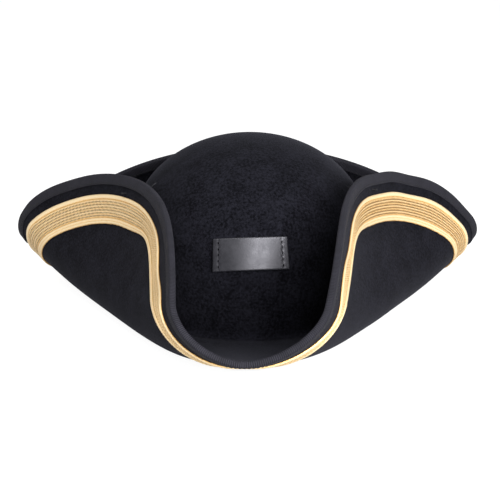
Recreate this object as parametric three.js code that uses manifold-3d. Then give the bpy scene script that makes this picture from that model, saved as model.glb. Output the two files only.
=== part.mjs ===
// A felt tricorn hat: a round crown, and a wide brim turned up on three sides.
//
// Everything is in millimetres and degrees. +Z is up, the front corner points
// along -Y, and +X is the side of the wearer's left hand.
//
// The felt is described by its middle surface. A place on it has two numbers:
//   station  the angle round the hat, 0 at the front, positive towards +X
//   along    the way from the crown's top to the brim's edge
//              -domeEnd .. -wallRun   the dome, one unit per degree
//              -wallRun .. 0          the wall, one unit per millimetre of height
//              0 .. fillet            the bend into the brim
//              fillet .. brim.width   the brim, in millimetres from the crown
// A third number, out, is the distance from the middle surface towards the
// outside of the crown, which is the upper face of the brim.

import * as THREE from 'three';
import * as BufferGeometryUtils from 'three/addons/utils/BufferGeometryUtils.js';
import Module from 'manifold-3d';

const DEG = Math.PI / 180;
const GAP = 0.3;
const STATIONS = 72;

const felt = { thickness: 3 };

const crown = {
  halfWidth: 88,
  halfLength: 104,
  wallHeight: 65,
  height: 138,
  bulge: 1.05,
  bendRadius: 5,
  lean: 0.2,
};

const brim = {
  width: 134,
  flatRing: 15,
  rollRadius: 28,
  flareLength: 60,
};

// Each flap is the part of the brim beyond a straight fold line.
const flaps = [
  { azimuth: -66, foldDistance: 97.5, roll: 118, flare: -12.5, bow: 12.8, skew: -7 },
  { azimuth: 66, foldDistance: 94.5, roll: 115, flare: -12.5, bow: 12.8, skew: -4 },
  { azimuth: 180, foldDistance: 108, roll: 112, flare: 0, bow: 0, skew: 0 },
];

const corners = [
  { station: 0, lift: 22, spread: 35, power: 1.5 },
  { station: -117, lift: 14.5, spread: 40, power: 2 },
  { station: 117, lift: 14.5, spread: 40, power: 2 },
];

const binding = { depth: 7, thickness: 0.7, seamInset: 1.3 };
const braid = { start: 97, end: 119.5, thickness: 1.2 };
const seam = { threadRadius: 0.25 };
const sweatband = { height: 31, thickness: 1, seamHeight: 2.5 };
const bow = { width: 26, height: 9, thickness: 1.2, middle: 20, setback: 1.6 };
const label = { station: 135, steps: 4, bottom: 14, height: 14, thickness: 0.4 };

const keeper = {
  width: 53,
  height: 24,
  thickness: 1.6,
  middle: 66.5,
  sideways: 1.5,
  tilt: 2.3,
  loopGap: 1.4,
  endGap: 0.35,
  stitchInset: 4.3,
  grooveHalfFloor: 0.6,
  grooveHalfTop: 0.9,
  grooveDepth: 0.7,
};

const stitch = { radius: 0.26, count: 5, pitch: 4.3, rise: 0.12 };

const tack = { threadRadius: 0.5, knotRadius: 1.6, knotSlack: 1.1, inset: 10.7 };
const tacks = [
  { name: 'tack_thread_left', station: -66, flap: 0 },
  { name: 'tack_thread_right', station: 66, flap: 1 },
  { name: 'tack_thread_rear', station: 180, flap: 2 },
];

const half = felt.thickness / 2;
const fillet = crown.bendRadius - half;
const wallRun = crown.wallHeight - crown.bendRadius;
const domeEnd = wallRun + 90;

// ---------- the felt's middle surface

// The oval where the crown's outer face meets the brim, and its outward normal.
function crownOval(station) {
  const sin = Math.sin(station * DEG);
  const cos = Math.cos(station * DEG);
  const point = new THREE.Vector2(crown.halfWidth * sin, -crown.halfLength * cos);
  const normal = new THREE.Vector2(sin / crown.halfWidth, -cos / crown.halfLength);
  return { point, normal: normal.normalize() };
}

// How far a strip of the given length reaches and rises when it is rolled up.
function rolledUp(length, flap) {
  const radius = brim.rollRadius;
  const turn = flap.roll * DEG;
  const bent = Math.min(length / radius, turn);
  const rest = length - bent * radius;
  const rate = (flap.flare * DEG) / brim.flareLength;
  let reach = radius * Math.sin(bent);
  let rise = radius * (1 - Math.cos(bent));
  if (rate === 0) {
    reach += rest * Math.cos(turn);
    rise += rest * Math.sin(turn);
  } else {
    const end = turn + rate * rest;
    reach += (Math.sin(end) - Math.sin(turn)) / rate;
    rise += (Math.cos(turn) - Math.cos(end)) / rate;
  }
  return { reach, rise };
}

function angleBetween(a, b) {
  const turn = (((a - b) % 360) + 540) % 360;
  return turn - 180;
}

function brimPoint(station, along) {
  const { point, normal } = crownOval(station);
  const flat = point.addScaledVector(normal, along);
  const place = new THREE.Vector3(flat.x, flat.y, 0);
  for (const flap of flaps) {
    const away = new THREE.Vector2(Math.sin(flap.azimuth * DEG), -Math.cos(flap.azimuth * DEG));
    const beyond = Math.max(0, flat.dot(away) - flap.foldDistance);
    const sideways = (away.x * flat.y - away.y * flat.x) / 100;
    const { reach, rise } = rolledUp(beyond, flap);
    const lean = (rise / 100) * (flap.bow * sideways ** 2 + flap.skew * sideways);
    const shift = reach - beyond + lean;
    place.x += away.x * shift;
    place.y += away.y * shift;
    place.z += rise;
  }
  const lifted = Math.max(0, along - brim.flatRing) / (brim.width - brim.flatRing);
  for (const corner of corners) {
    const away = angleBetween(station, corner.station) / corner.spread;
    place.z += corner.lift * lifted ** corner.power * Math.exp(-away * away);
  }
  return place;
}

// The wall swells a little up to wallHeight, and an elliptic dome closes it.
function crownPoint(station, along) {
  const below = -along;
  const top = crown.height - half;
  let height = crown.bendRadius + below;
  let scale = 1 + (crown.bulge - 1) * Math.sin((90 * DEG * below) / wallRun);
  if (below > wallRun) {
    const angle = (below - wallRun) * DEG;
    height = crown.wallHeight + (top - crown.wallHeight) * Math.sin(angle);
    scale = crown.bulge * Math.cos(angle);
  }
  const x = (crown.halfWidth - half) * scale * Math.sin(station * DEG);
  const y = -(crown.halfLength - half) * scale * Math.cos(station * DEG);
  return new THREE.Vector3(x + (crown.lean * height * height) / top ** 2, y, height);
}

function bendPoint(station, along) {
  const { point, normal } = crownOval(station);
  const turn = (along / fillet) * 90 * DEG;
  const offset = fillet - crown.bendRadius * Math.cos(turn);
  const flat = point.addScaledVector(normal, offset);
  return new THREE.Vector3(flat.x, flat.y, crown.bendRadius * (1 - Math.sin(turn)));
}

function middlePoint(station, along) {
  if (along < 0) {
    return crownPoint(station, along);
  }
  return along < fillet ? bendPoint(station, along) : brimPoint(station, along);
}

// The normal, from the slopes of the middle surface round and along the hat.
function outward(station, along) {
  const step = 0.02;
  const round = middlePoint(station + step, along).sub(middlePoint(station - step, along));
  const down = middlePoint(station, along + step).sub(middlePoint(station, along - step));
  return down.cross(round).normalize();
}

function surfacePoint(station, along, out) {
  return middlePoint(station, along).addScaledVector(outward(station, along), out);
}

// ---------- meshes

// A closed mesh with its faces pointing out, whichever way its triangles were listed.
function closedGeometry(points, triangles) {
  const volume = triangles.reduce((sum, [a, b, c]) => {
    const cross = new THREE.Vector3().crossVectors(points[b], points[c]);
    return sum + points[a].dot(cross);
  }, 0);
  const facingOut = volume > 0 ? triangles : triangles.map(([a, b, c]) => [a, c, b]);
  const numbers = points.flatMap((p) => [p.x, p.y, p.z]);
  const geometry = new THREE.BufferGeometry();
  geometry.setAttribute('position', new THREE.Float32BufferAttribute(numbers, 3));
  geometry.setIndex(facingOut.flat());
  geometry.computeVertexNormals();
  return geometry;
}

// The two triangles of a four-sided facet, split from a to c or from b to d.
function facet(a, b, c, d, fromA = true) {
  return fromA ? [[a, b, c], [a, c, d]] : [[a, b, d], [b, c, d]];
}

// Facets between neighbouring stations all the way round. The diagonal always leans the
// same way on the felt, so a skin that lies on it has facets parallel to the felt's own.
function facetsRound(section, isClosed) {
  const triangles = [];
  const count = section.length;
  const sides = isClosed ? count : count - 1;
  for (let i = 0; i < STATIONS; i += 1) {
    const here = i * count;
    const next = ((i + 1) % STATIONS) * count;
    for (let j = 0; j < sides; j += 1) {
      const k = (j + 1) % count;
      const towardsEdge = section[k][0] >= section[j][0];
      triangles.push(...facet(here + j, here + k, next + k, next + j, towardsEdge));
    }
  }
  return triangles;
}

function pointsRound(section) {
  const points = [];
  for (let i = 0; i < STATIONS; i += 1) {
    for (const [along, out] of section) {
      points.push(surfacePoint((i * 360) / STATIONS, along, out));
    }
  }
  return points;
}

// A closed band round the hat. Its section is a list of [along, out] corners.
function band(section) {
  return closedGeometry(pointsRound(section), facetsRound(section, true));
}

// The felt: one face out to the edge and the other back, each closed at the crown's top.
function hood(alongs) {
  const innerRun = alongs.map((along) => [along, -half]);
  const outerRun = alongs.map((along) => [along, half]).reverse();
  const section = [...innerRun, ...outerRun];
  const points = pointsRound(section);
  const triangles = facetsRound(section, false);
  const top = crownPoint(0, -domeEnd);
  const innerPole = points.length;
  const outerPole = innerPole + 1;
  points.push(top.clone().setZ(top.z - half), top.clone().setZ(top.z + half));
  for (let i = 0; i < STATIONS; i += 1) {
    const here = i * section.length;
    const next = ((i + 1) % STATIONS) * section.length;
    triangles.push([innerPole, here, next]);
    triangles.push([outerPole, next + section.length - 1, here + section.length - 1]);
  }
  return closedGeometry(points, triangles);
}

// A closed slab between two grids of points of the same size.
function slab(upper, lower) {
  const rows = upper.length;
  const columns = upper[0].length;
  const points = [...upper.flat(), ...lower.flat()];
  const below = rows * columns;
  const at = (row, column) => row * columns + column;
  const triangles = [];
  for (let r = 0; r + 1 < rows; r += 1) {
    for (let c = 0; c + 1 < columns; c += 1) {
      const faces = facet(at(r, c), at(r, c + 1), at(r + 1, c + 1), at(r + 1, c));
      triangles.push(...faces);
      triangles.push(...faces.map(([p, q, s]) => [p + below, s + below, q + below]));
    }
  }
  const rim = [];
  for (let c = 0; c + 1 < columns; c += 1) {
    rim.push([at(0, c + 1), at(0, c)], [at(rows - 1, c), at(rows - 1, c + 1)]);
  }
  for (let r = 0; r + 1 < rows; r += 1) {
    rim.push([at(r, 0), at(r + 1, 0)], [at(r + 1, columns - 1), at(r, columns - 1)]);
  }
  for (const [a, b] of rim) {
    triangles.push([a, b, b + below], [a, b + below, a + below]);
  }
  return closedGeometry(points, triangles);
}

// A closed tube through rings of points of the same size.
function tube(rings) {
  const sides = rings[0].length;
  const points = rings.flat();
  const triangles = [];
  for (let r = 0; r + 1 < rings.length; r += 1) {
    for (let j = 0; j < sides; j += 1) {
      const k = (j + 1) % sides;
      const here = r * sides;
      triangles.push(...facet(here + j, here + k, here + sides + k, here + sides + j));
    }
  }
  const last = (rings.length - 1) * sides;
  for (let j = 1; j + 1 < sides; j += 1) {
    triangles.push([0, j + 1, j], [last, last + j, last + j + 1]);
  }
  return closedGeometry(points, triangles);
}

// ---------- solids that are joined or cut

const manifold = await Module();
manifold.setup();

function toSolid(source) {
  const bare = source.clone();
  bare.deleteAttribute('normal');
  bare.deleteAttribute('uv');
  const merged = BufferGeometryUtils.mergeVertices(bare, 1e-5);
  const mesh = new manifold.Mesh({
    numProp: 3,
    vertProperties: new Float32Array(merged.attributes.position.array),
    triVerts: new Uint32Array(merged.index.array),
  });
  return new manifold.Manifold(mesh);
}

function toGeometry(solid) {
  const mesh = solid.getMesh();
  const geometry = new THREE.BufferGeometry();
  geometry.setAttribute('position', new THREE.BufferAttribute(mesh.vertProperties, 3));
  geometry.setIndex(new THREE.BufferAttribute(mesh.triVerts, 1));
  geometry.computeVertexNormals();
  return geometry;
}

function rodBetween(start, end, radius, sides) {
  const axis = new THREE.Vector3().subVectors(end, start);
  const rod = new THREE.CylinderGeometry(radius, radius, axis.length(), sides);
  const upright = new THREE.Vector3(0, 1, 0);
  rod.applyQuaternion(new THREE.Quaternion().setFromUnitVectors(upright, axis.normalize()));
  const middle = new THREE.Vector3().addVectors(start, end).multiplyScalar(0.5);
  return rod.translate(middle.x, middle.y, middle.z);
}

// ---------- tack threads

// The place along the crown's meridian at a given height of its middle surface.
function crownAlong(height) {
  if (height <= crown.wallHeight) {
    return crown.bendRadius - height;
  }
  const dome = crown.height - half - crown.wallHeight;
  return -wallRun - Math.asin((height - crown.wallHeight) / dome) / DEG;
}

// The crown's oval at a point's height. Size is 1 on the middle surface and less inside it.
function crownPlace(point) {
  const along = crownAlong(point.z);
  const front = crownPoint(0, along);
  const side = crownPoint(90, along);
  const x = (point.x - front.x) / (side.x - front.x);
  const y = point.y / front.y;
  return { along, size: Math.hypot(x, y), station: Math.atan2(x, y) / DEG };
}

// How far a knot's middle stands from the felt's middle surface, measured along the thread.
function knotSetback(station, along, direction) {
  const slant = Math.abs(outward(station, along).dot(direction));
  return (half + GAP + tack.knotRadius + tack.knotSlack) / slant;
}

// Each thread runs level from a knot outside its flap to a knot inside the crown.
function tackEnds({ station, flap }) {
  const { azimuth } = flaps[flap];
  const along = brim.width - tack.inset;
  const onFlap = middlePoint(station, along);
  const inward = new THREE.Vector3(-Math.sin(azimuth * DEG), Math.cos(azimuth * DEG), 0);
  const inFrom = (distance) => onFlap.clone().addScaledVector(inward, distance);
  let near = 0;
  let far = crown.halfWidth;
  for (let i = 0; i < 40; i += 1) {
    const middle = (near + far) / 2;
    if (crownPlace(inFrom(middle)).size > 1) {
      near = middle;
    } else {
      far = middle;
    }
  }
  const onCrown = crownPlace(inFrom(near));
  return [
    inFrom(-knotSetback(station, along, inward)),
    inFrom(near + knotSetback(onCrown.station, onCrown.along, inward)),
  ];
}

function tackGeometry(ends) {
  let solid = toSolid(rodBetween(ends[0], ends[1], tack.threadRadius, 6));
  for (const end of ends) {
    const knot = new THREE.SphereGeometry(tack.knotRadius, 8, 6);
    solid = solid.add(toSolid(knot.translate(end.x, end.y, end.z)));
  }
  return toGeometry(solid);
}

// ---------- felt and what is sewn along its edge

function feltGeometry() {
  const dome = [75, 56, 37, 18].map((angle) => -wallRun - angle);
  const wall = [-wallRun, -46, -sweatband.height, -17, 0, fillet / 2, fillet];
  const flat = [brim.flatRing, 30, 45, 60, 74, 86];
  const edge = [braid.start, (braid.start + braid.end) / 2, braid.end];
  const bound = [brim.width - binding.depth, brim.width];
  let solid = toSolid(hood([...dome, ...wall, ...flat, ...edge, ...bound]));
  for (const place of tacks) {
    const [outer, inner] = tackEnds(place);
    solid = solid.subtract(toSolid(rodBetween(outer, inner, tack.threadRadius + GAP, 6)));
  }
  return toGeometry(solid);
}

function bindingGeometry() {
  const inner = half + GAP;
  const outer = inner + binding.thickness;
  const start = brim.width - binding.depth;
  const edge = brim.width + GAP;
  return band([
    [start, inner],
    [edge, inner],
    [edge, -inner],
    [start, -inner],
    [start, -outer],
    [brim.width, -outer],
    [edge + binding.thickness, -inner + 0.3],
    [edge + binding.thickness, inner - 0.3],
    [brim.width, outer],
    [start, outer],
  ]);
}

function braidGeometry() {
  const top = -half - GAP;
  const bottom = top - braid.thickness;
  const middle = (braid.start + braid.end) / 2;
  return band([
    [braid.start, top],
    [middle, top],
    [braid.end, top],
    [braid.end, bottom],
    [middle, bottom],
    [braid.start, bottom],
  ]);
}

// A thread lying on a face, whose middle is at the given place in the section.
function threadRound(along, out) {
  const r = seam.threadRadius;
  return band([[along - r, out], [along, out - r], [along + r, out], [along, out + r]]);
}

function bindingSeamGeometry(side) {
  const rise = half + GAP + binding.thickness + GAP + seam.threadRadius;
  return threadRound(brim.width - binding.depth + binding.seamInset, side * rise);
}

// ---------- inside the crown

const sweatbandFace = half + GAP + sweatband.thickness;

function sweatbandGeometry() {
  const heights = [0, -17, -sweatband.height];
  const back = heights.map((along) => [along, -half - GAP]);
  const front = heights.map((along) => [along, -sweatbandFace]).reverse();
  return band([...back, ...front]);
}

function sweatbandSeamGeometry() {
  return threadRound(-sweatband.seamHeight, -sweatbandFace - GAP - seam.threadRadius);
}

function labelGeometry() {
  const step = 360 / STATIONS;
  const grid = (out) => [label.bottom, label.bottom + label.height].map((height) => {
    const row = [];
    for (let i = 0; i <= label.steps; i += 1) {
      row.push(surfacePoint(label.station + i * step, crownAlong(height), out));
    }
    return row;
  });
  const back = -sweatbandFace - GAP;
  return slab(grid(back), grid(back - label.thickness));
}

// Two loops and two tails, cut flat.
function bowGeometry() {
  const w = bow.width / 2;
  const h = bow.height / 2;
  const outline = new THREE.Shape();
  outline.moveTo(1.5, 1.2);
  outline.quadraticCurveTo(w * 0.6, h, w, h * 0.7);
  outline.lineTo(w, -h * 0.3);
  outline.quadraticCurveTo(w * 0.5, -h * 0.5, 2, -1.2);
  outline.lineTo(w * 0.5, -h * 1.3);
  outline.lineTo(w * 0.25, -h * 1.5);
  outline.lineTo(0, -1.6);
  outline.lineTo(-w * 0.25, -h * 1.5);
  outline.lineTo(-w * 0.5, -h * 1.3);
  outline.lineTo(-2, -1.2);
  outline.quadraticCurveTo(-w * 0.5, -h * 0.5, -w, -h * 0.3);
  outline.lineTo(-w, h * 0.7);
  outline.quadraticCurveTo(-w * 0.6, h, -1.5, 1.2);
  const settings = { depth: bow.thickness, bevelEnabled: false, curveSegments: 4 };
  return new THREE.ExtrudeGeometry(outline, settings);
}

// ---------- keeper strap

const keeperGroove = keeper.width / 2 - keeper.stitchInset;

// A place on the strap: across to the right, up, and out from the felt's outer face.
function keeperPoint(across, up, out) {
  const cos = Math.cos(keeper.tilt * DEG);
  const sin = Math.sin(keeper.tilt * DEG);
  const x = keeper.sideways + across * cos - up * sin;
  const height = keeper.middle + up * cos + across * sin;
  const along = crownAlong(height);
  const reach = crownPoint(90, along).x - crownPoint(0, along).x;
  return surfacePoint(Math.asin(x / reach) / DEG, along, half + out);
}

// The strap lies on the felt at its ends and stands off a little between its seams.
function keeperGap(across) {
  const inside = Math.min(1, Math.abs(across) / keeperGroove);
  return keeper.endGap + keeper.loopGap * (1 - inside ** 2) ** 2;
}

function keeperGeometry() {
  const { grooveHalfFloor: floor, grooveHalfTop: top } = keeper;
  const groove = [[-top, 0], [-floor, keeper.grooveDepth], [floor, keeper.grooveDepth], [top, 0]];
  const seamAt = (middle) => groove.map(([across, depth]) => [middle + across, depth]);
  const columns = [
    [-keeper.width / 2, 0],
    ...seamAt(-keeperGroove),
    ...[-15, -9, -3, 3, 9, 15].map((across) => [across, 0]),
    ...seamAt(keeperGroove),
    [keeper.width / 2, 0],
  ];
  const rows = [-0.5, -0.25, 0, 0.25, 0.5].map((share) => share * keeper.height);
  const face = (up) => columns.map(([across, depth]) => (
    keeperPoint(across, up, keeperGap(across) + keeper.thickness - depth)
  ));
  const back = (up) => columns.map(([across]) => keeperPoint(across, up, keeperGap(across)));
  return slab(rows.map(face), rows.map(back));
}

// One row of running stitches: a thread that rises and dips along its groove.
function stitchGeometry(side) {
  const r = stitch.radius;
  const floor = keeper.endGap + keeper.thickness - keeper.grooveDepth;
  const middle = floor + GAP + r + stitch.rise;
  const rings = [];
  for (let i = 0; i <= stitch.count * 4; i += 1) {
    const up = (i / 4 - stitch.count / 2) * stitch.pitch;
    const out = middle - stitch.rise * Math.cos((i * Math.PI) / 2);
    const across = side * keeperGroove;
    rings.push([
      keeperPoint(across - r, up, out),
      keeperPoint(across, up, out - r),
      keeperPoint(across + r, up, out),
      keeperPoint(across, up, out + r),
    ]);
  }
  return tube(rings);
}

// ---------- the hat

const wool = new THREE.MeshStandardMaterial({ color: 0x1d1e24, roughness: 1 });
const grosgrain = new THREE.MeshStandardMaterial({ color: 0x2b2b31, roughness: 0.85 });
const goldThread = new THREE.MeshStandardMaterial({
  color: 0xd9b060, roughness: 0.45, metalness: 0.7,
});
const leather = new THREE.MeshStandardMaterial({ color: 0x17171a, roughness: 0.4 });
const blackThread = new THREE.MeshStandardMaterial({ color: 0x0b0b0d, roughness: 0.7 });
const cottonBand = new THREE.MeshStandardMaterial({ color: 0x202024, roughness: 0.9 });
const labelCloth = new THREE.MeshStandardMaterial({ color: 0xc9c4b8, roughness: 0.9 });

const hat = new THREE.Group();

function addPiece(name, geometry, material) {
  const mesh = new THREE.Mesh(geometry, material);
  mesh.name = name;
  hat.add(mesh);
  return mesh;
}

addPiece('felt_hood', feltGeometry(), wool);
addPiece('edge_binding', bindingGeometry(), grosgrain);
addPiece('binding_seam_upper', bindingSeamGeometry(1), blackThread);
addPiece('binding_seam_lower', bindingSeamGeometry(-1), blackThread);
addPiece('gold_braid', braidGeometry(), goldThread);
addPiece('sweatband', sweatbandGeometry(), cottonBand);
addPiece('sweatband_seam', sweatbandSeamGeometry(), blackThread);
addPiece('size_label', labelGeometry(), labelCloth);
addPiece('keeper_strap', keeperGeometry(), leather);
addPiece('keeper_stitches_left', stitchGeometry(-1), blackThread);
addPiece('keeper_stitches_right', stitchGeometry(1), blackThread);

const rearBow = addPiece('rear_bow', bowGeometry(), grosgrain);
rearBow.rotation.x = Math.PI / 2;
rearBow.position.copy(surfacePoint(180, crownAlong(bow.middle), -sweatbandFace - bow.setback));

for (const place of tacks) {
  addPiece(place.name, tackGeometry(tackEnds(place)), blackThread);
}

// The origin is under the middle of the hat, on the surface that it rests on.
const bounds = new THREE.Box3().setFromObject(hat, true);
const middle = bounds.getCenter(new THREE.Vector3());
hat.position.set(-middle.x, -middle.y, -bounds.min.z);

export default hat;
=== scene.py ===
# A felt tricorn hat on a white table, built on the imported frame.
#
# Shapes are worked out in millimetres and degrees in the hat's own frame, whose Z axis is
# the crown's axis and whose z = 0 is the brim's middle surface, and then moved into the
# row frame. A place on the felt has a station (degrees round the hat, 0 at the front), an
# along (from the crown's top to the brim's edge) and an out (distance from the felt's
# middle surface, towards the crown's outside and the brim's upper face).

import math

import bpy
import numpy as np
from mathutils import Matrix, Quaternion, Vector


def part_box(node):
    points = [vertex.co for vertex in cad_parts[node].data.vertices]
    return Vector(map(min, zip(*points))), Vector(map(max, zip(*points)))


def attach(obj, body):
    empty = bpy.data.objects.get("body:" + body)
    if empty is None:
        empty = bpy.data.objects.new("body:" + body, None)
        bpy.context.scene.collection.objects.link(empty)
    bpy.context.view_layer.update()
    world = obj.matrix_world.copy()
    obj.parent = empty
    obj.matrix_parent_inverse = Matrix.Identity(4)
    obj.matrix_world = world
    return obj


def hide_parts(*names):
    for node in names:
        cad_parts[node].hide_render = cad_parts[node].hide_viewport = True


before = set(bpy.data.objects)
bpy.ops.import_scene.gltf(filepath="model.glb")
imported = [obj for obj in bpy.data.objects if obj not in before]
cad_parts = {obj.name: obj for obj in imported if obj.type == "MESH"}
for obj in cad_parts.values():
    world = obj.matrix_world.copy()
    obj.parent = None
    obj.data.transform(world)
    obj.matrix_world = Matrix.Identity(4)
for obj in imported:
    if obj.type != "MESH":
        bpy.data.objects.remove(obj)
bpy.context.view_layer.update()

MM = 0.001
rng = np.random.default_rng(7)

# ---------- sizes, as in the CAD part

GAP = 0.3
HALF_FELT = 1.5
HALF_WIDTH = 88.0
HALF_LENGTH = 104.0
WALL_HEIGHT = 65.0
CROWN_TOP = 138.0 - HALF_FELT
BULGE = 1.05
BEND_RADIUS = 5.0
CROWN_LEAN = 0.2
FILLET = BEND_RADIUS - HALF_FELT
WALL_RUN = WALL_HEIGHT - BEND_RADIUS
DOME_END = WALL_RUN + 90.0

BRIM_WIDTH = 134.0
FLAT_RING = 15.0
ROLL_RADIUS = 28.0
FLARE_LENGTH = 60.0
# azimuth, fold distance, roll, flare, bow, skew
FLAPS = [
    (-66.0, 97.5, 118.0, -12.5, 12.8, -7.0),
    (66.0, 94.5, 115.0, -12.5, 12.8, -4.0),
    (180.0, 108.0, 112.0, 0.0, 0.0, 0.0),
]
# station, lift, spread, power
CORNERS = [(0.0, 22.0, 35.0, 1.5), (-117.0, 14.5, 40.0, 2.0), (117.0, 14.5, 40.0, 2.0)]
# Places where the brim was shaped by hand: station, along, spread in mm, and the shift.
DENTS = [
    (-115.0, 134.0, 23.0, (3.4, 0.0, 0.0)),
    (-90.0, 134.0, 30.0, (0.0, 0.0, -0.9)),
    (112.0, 134.0, 30.0, (-2.0, 0.0, 0.0)),
    (70.0, 134.0, 26.0, (0.0, 0.0, -2.0)),
    (85.0, 134.0, 26.0, (0.0, 0.0, -2.0)),
    (62.0, 60.0, 34.0, (0.9, 0.0, -1.2)),
    (-38.0, 80.0, 30.0, (0.6, 0.0, 1.1)),
]

BINDING_DEPTH = 7.0
BINDING_THICKNESS = 0.7
BRAID_START = 97.0
BRAID_END = 119.5
BAND_HEIGHT = 31.0
BAND_THICKNESS = 1.0
BAND_FACE = HALF_FELT + GAP + BAND_THICKNESS

band_low, band_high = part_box("sweatband")
AXIS = np.array([
    (band_low.x + band_high.x) / 2 / MM,
    (band_low.y + band_high.y) / 2 / MM,
    band_low.z / MM - BEND_RADIUS,
])

# ---------- the felt's middle surface


def crown_oval(station):
    turn = np.radians(station)
    sin, cos = np.sin(turn), np.cos(turn)
    point = np.stack([HALF_WIDTH * sin, -HALF_LENGTH * cos], -1)
    normal = np.stack([sin / HALF_WIDTH, -cos / HALF_LENGTH], -1)
    return point, normal / np.linalg.norm(normal, axis=-1, keepdims=True)


def rolled_up(length, roll, flare):
    """How far a strip of the given length reaches and rises when it is rolled up."""
    turn = math.radians(roll)
    bent = np.minimum(length / ROLL_RADIUS, turn)
    rest = length - bent * ROLL_RADIUS
    reach = ROLL_RADIUS * np.sin(bent)
    rise = ROLL_RADIUS * (1 - np.cos(bent))
    rate = math.radians(flare) / FLARE_LENGTH
    if rate == 0:
        return reach + rest * math.cos(turn), rise + rest * math.sin(turn)
    end = turn + rate * rest
    reach = reach + (np.sin(end) - math.sin(turn)) / rate
    rise = rise + (math.cos(turn) - np.cos(end)) / rate
    return reach, rise


def brim_point(station, along):
    point, normal = crown_oval(station)
    flat = point + normal * along[..., None]
    place = np.concatenate([flat, np.zeros_like(along)[..., None]], -1)
    for azimuth, fold, roll, flare, bow, skew in FLAPS:
        turn = math.radians(azimuth)
        away = np.array([math.sin(turn), -math.cos(turn)])
        beyond = np.maximum(0, flat @ away - fold)
        sideways = (away[0] * flat[..., 1] - away[1] * flat[..., 0]) / 100
        reach, rise = rolled_up(beyond, roll, flare)
        lean = rise / 100 * (bow * sideways ** 2 + skew * sideways)
        shift = reach - beyond + lean
        place[..., 0] += away[0] * shift
        place[..., 1] += away[1] * shift
        place[..., 2] += rise
    lifted = np.maximum(0, along - FLAT_RING) / (BRIM_WIDTH - FLAT_RING)
    for corner, lift, spread, power in CORNERS:
        away = ((station - corner + 180) % 360 - 180) / spread
        place[..., 2] += lift * lifted ** power * np.exp(-away * away)
    return place


def shaped_brim(station, along):
    place = brim_point(station, along)
    for at_station, at_along, spread, shift in DENTS:
        centre = brim_point(np.array(at_station), np.array(at_along))
        distance = np.linalg.norm(place - centre, axis=-1, keepdims=True) / spread
        place = place + np.array(shift) * np.exp(-distance ** 2)
    return place


def crown_point(station, along):
    below = -along
    turn = np.radians(np.clip(below - WALL_RUN, 0, 90))
    wall = np.clip(below, -1, WALL_RUN)
    scale = (1 + (BULGE - 1) * np.sin(np.pi / 2 * wall / WALL_RUN)) * np.cos(turn)
    dome = WALL_HEIGHT + (CROWN_TOP - WALL_HEIGHT) * np.sin(turn)
    height = np.where(below > WALL_RUN, dome, BEND_RADIUS + below)
    around = np.radians(station)
    x = (HALF_WIDTH - HALF_FELT) * scale * np.sin(around)
    y = -(HALF_LENGTH - HALF_FELT) * scale * np.cos(around)
    return np.stack([x + CROWN_LEAN * height ** 2 / CROWN_TOP ** 2, y, height], -1)


def bend_point(station, along):
    point, normal = crown_oval(station)
    turn = along / FILLET * np.pi / 2
    flat = point + normal * (FILLET - BEND_RADIUS * np.cos(turn))[..., None]
    return np.concatenate([flat, (BEND_RADIUS * (1 - np.sin(turn)))[..., None]], -1)


def middle_point(station, along):
    station, along = np.broadcast_arrays(
        np.asarray(station, float), np.asarray(along, float)
    )
    crown = crown_point(station, np.minimum(along, 0.05))
    bend = bend_point(station, np.clip(along, 0, FILLET))
    brim = shaped_brim(station, np.maximum(along, FILLET))
    flat = (along < FILLET)[..., None]
    return np.where((along < 0)[..., None], crown, np.where(flat, bend, brim))


def outward(station, along):
    step = 0.02
    station, along = np.broadcast_arrays(
        np.asarray(station, float), np.asarray(along, float)
    )
    around = middle_point(station + step, along) - middle_point(station - step, along)
    down = middle_point(station, along + step) - middle_point(station, along - step)
    normal = np.cross(down, around)
    return normal / np.linalg.norm(normal, axis=-1, keepdims=True)


def surface_point(station, along, out):
    out = np.asarray(out, float)
    return middle_point(station, along) + outward(station, along) * out[..., None]


def crown_along(height):
    """The along of a place on the crown's meridian at a given height."""
    height = np.asarray(height, float)
    rise = np.clip((height - WALL_HEIGHT) / (CROWN_TOP - WALL_HEIGHT), 0, 1)
    dome = -WALL_RUN - np.degrees(np.arcsin(rise))
    return np.where(height <= WALL_HEIGHT, BEND_RADIUS - height, dome)


def to_row(points):
    return (np.asarray(points, float) + AXIS) * MM


# ---------- mesh building

UV = "lay"


def signed_volume(points, faces):
    volume = 0.0
    for part in faces:
        for k in range(1, part.shape[1] - 1):
            a, b, c = (points[part[:, j]] for j in (0, k, k + 1))
            volume += np.einsum("ij,ij->", a, np.cross(b, c))
    return volume


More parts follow.
